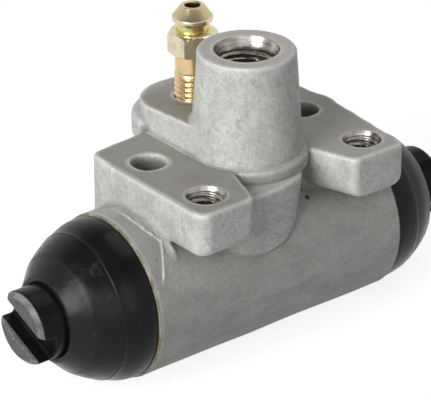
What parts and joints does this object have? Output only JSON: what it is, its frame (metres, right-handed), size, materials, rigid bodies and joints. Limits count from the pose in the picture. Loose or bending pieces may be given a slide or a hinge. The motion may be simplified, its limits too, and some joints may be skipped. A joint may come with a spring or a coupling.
{
  "type": "wheel cylinder",
  "caption": "Drum brake wheel cylinder: cast aluminium body with lugs, inlet and bleeder, slotted pistons under rubber boots.",
  "frame": {"origin": "middle of the two tapped mounting holes, on the mounting face", "axes": "+Z out of the mounting face along the inlet boss, +X along the barrel towards the right piston, +Y from the bolt line towards the bleeder"},
  "size_m": [0.0919, 0.043, 0.0569],
  "materials": {
    "cast_aluminium": "satin",
    "yellow_zinc_steel": "glossy",
    "boot_rubber": "satin",
    "black_piston": "glossy",
    "seal_rubber": "satin",
    "pressed_steel": "satin",
    "spring_steel": "satin"
  },
  "bodies": {
    "cylinder": {"cylinder_body": "cast_aluminium", "left_dust_boot": "boot_rubber", "right_dust_boot": "boot_rubber", "return_spring": "spring_steel"},
    "left_seal": {"left_piston_cup": "seal_rubber", "left_cup_expander": "pressed_steel"},
    "left_plunger": {"left_piston": "black_piston"},
    "right_seal": {"right_piston_cup": "seal_rubber", "right_cup_expander": "pressed_steel"},
    "right_plunger": {"right_piston": "black_piston"},
    "bleeder": {"bleeder_screw": "yellow_zinc_steel"}
  },
  "joints": [
    {"name": "left_slide", "type": "slide", "parent": "cylinder", "child": "left_seal", "axis": [-1, 0, 0], "range_m": [-0.002, 0.006], "deforming": ["left_dust_boot", "return_spring"]},
    {"name": "left_turn", "type": "hinge", "parent": "left_seal", "child": "left_plunger", "pos_m": [-0.03, 0.0116, -0.0201], "axis": [-1, 0, 0], "continuous": true},
    {"name": "right_slide", "type": "slide", "parent": "cylinder", "child": "right_seal", "axis": [1, 0, 0], "range_m": [-0.002, 0.006], "deforming": ["right_dust_boot", "return_spring"]},
    {"name": "right_turn", "type": "hinge", "parent": "right_seal", "child": "right_plunger", "pos_m": [0.0245, 0.0116, -0.0201], "axis": [1, 0, 0], "continuous": true},
    {"name": "bleeder_turn", "type": "hinge", "parent": "cylinder", "child": "bleeder", "pos_m": [0, 0.0257, 0.0044], "axis": [0, 0, 1], "range_deg": [0, 270]}
  ]
}
